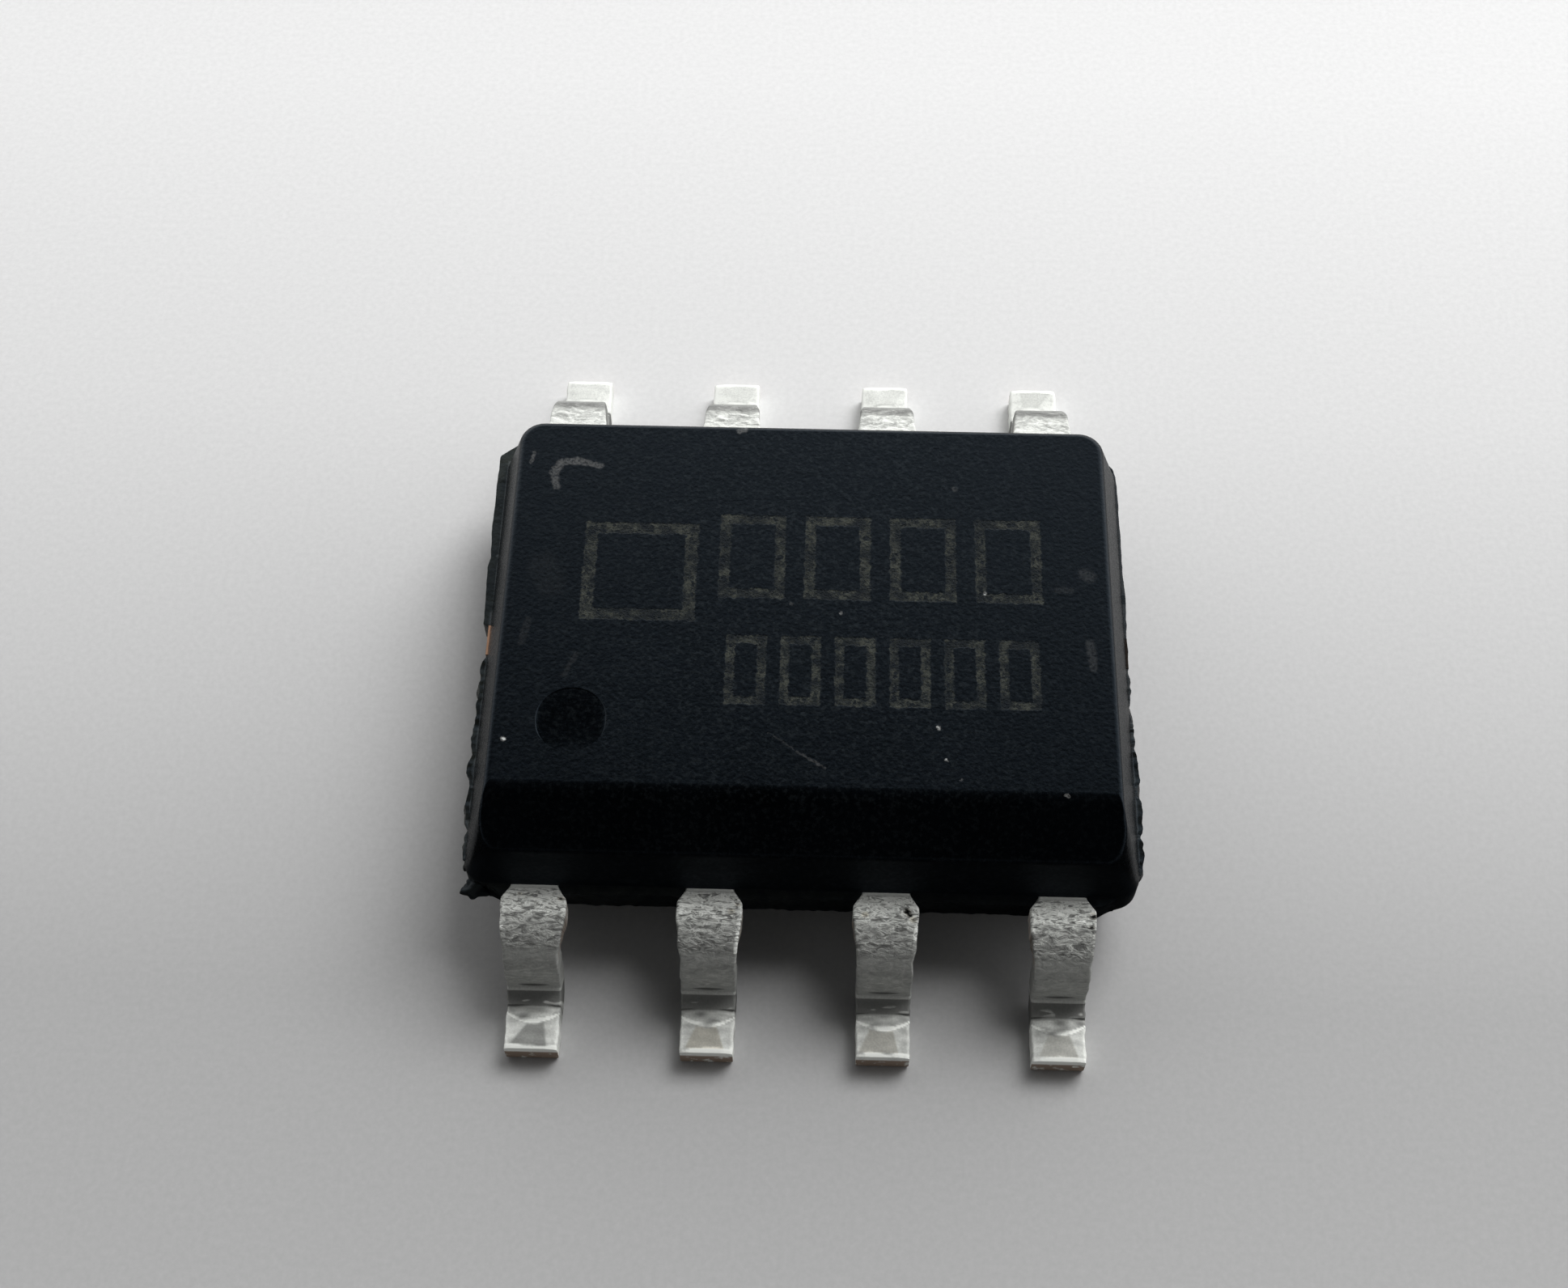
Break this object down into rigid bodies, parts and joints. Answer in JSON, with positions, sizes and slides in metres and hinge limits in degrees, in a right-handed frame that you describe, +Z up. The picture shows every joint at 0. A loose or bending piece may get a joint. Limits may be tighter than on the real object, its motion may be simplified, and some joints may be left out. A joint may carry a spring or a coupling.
{
  "type": "soic ic chip",
  "caption": "Small-outline integrated circuit: a thin black moulded block with gull-wing tinned leads along both long sides, a chamfered edge and a round dish by the first lead.",
  "frame": {"origin": "centre of the footprint, on the plane that the feet stand on", "axes": "+X along the rows of leads, from lead 1 to lead 4; +Y across them, away from the side of lead 1; +Z up"},
  "size_m": [0.005, 0.006, 0.0014],
  "materials": {
    "moulding": "fine matte, faintly speckled, with rough broken flash at both ends",
    "tinned_lead": "matte tin plating, wrinkled and bright over the bends",
    "lead_frame_copper": "bare rolled copper alloy, freshly cut at the tie bars' ends",
    "die_glue": "cured silver-filled epoxy",
    "silicon": "polished silicon with a passivated surface",
    "gold_wire": "drawn gold wire"
  },
  "bodies": {
    "root": {"mold_body": "moulding", "lead_1": "tinned_lead", "lead_2": "tinned_lead", "lead_3": "tinned_lead", "lead_4": "tinned_lead", "lead_5": "tinned_lead", "lead_6": "tinned_lead", "lead_7": "tinned_lead", "lead_8": "tinned_lead", "die_paddle": "lead_frame_copper", "die_attach": "die_glue", "die": "silicon", "bond_wire_1": "gold_wire", "bond_wire_2": "gold_wire", "bond_wire_3": "gold_wire", "bond_wire_4": "gold_wire", "bond_wire_5": "gold_wire", "bond_wire_6": "gold_wire", "bond_wire_7": "gold_wire", "bond_wire_8": "gold_wire"}
  },
  "joints": []
}
